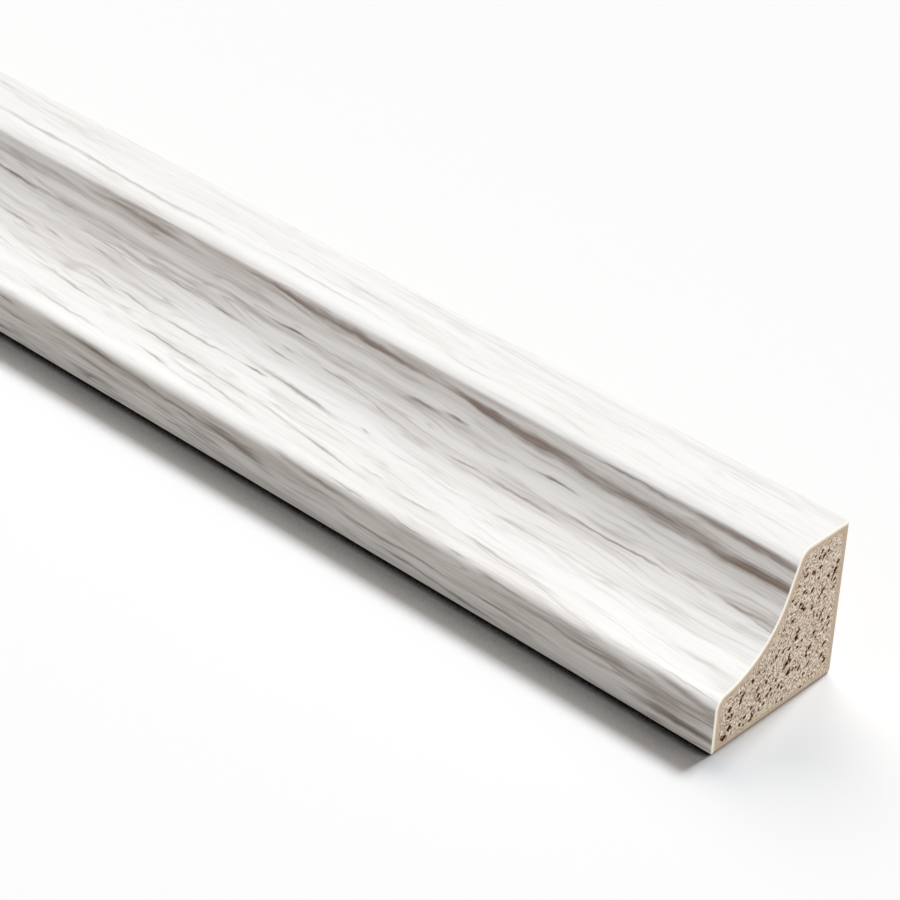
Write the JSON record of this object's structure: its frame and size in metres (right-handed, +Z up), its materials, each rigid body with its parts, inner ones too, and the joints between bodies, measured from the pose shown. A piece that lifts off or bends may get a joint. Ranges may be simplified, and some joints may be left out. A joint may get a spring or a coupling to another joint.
{
  "type": "scotia moulding",
  "caption": "Foil-wrapped scotia trim: a straight length of wood-fibre moulding with a concave cove face, a flat ledge, a low lip and a bare flat back and base.",
  "frame": {"origin": "on the floor, under the middle of the length and of the width of the flat underside", "axes": "+X along the length, +Y from the cove and lip towards the flat back, +Z up from the underside to the ledge"},
  "size_m": [2.4, 0.019, 0.019],
  "materials": {
    "core": "bare pressed wood fibre, sawn and moulded, matt beige",
    "decor_foil": "decor foil printed as white-washed, grey-streaked wood grain, satin"
  },
  "bodies": {
    "root": {"core": "core", "decor_foil": "decor_foil"}
  },
  "joints": []
}
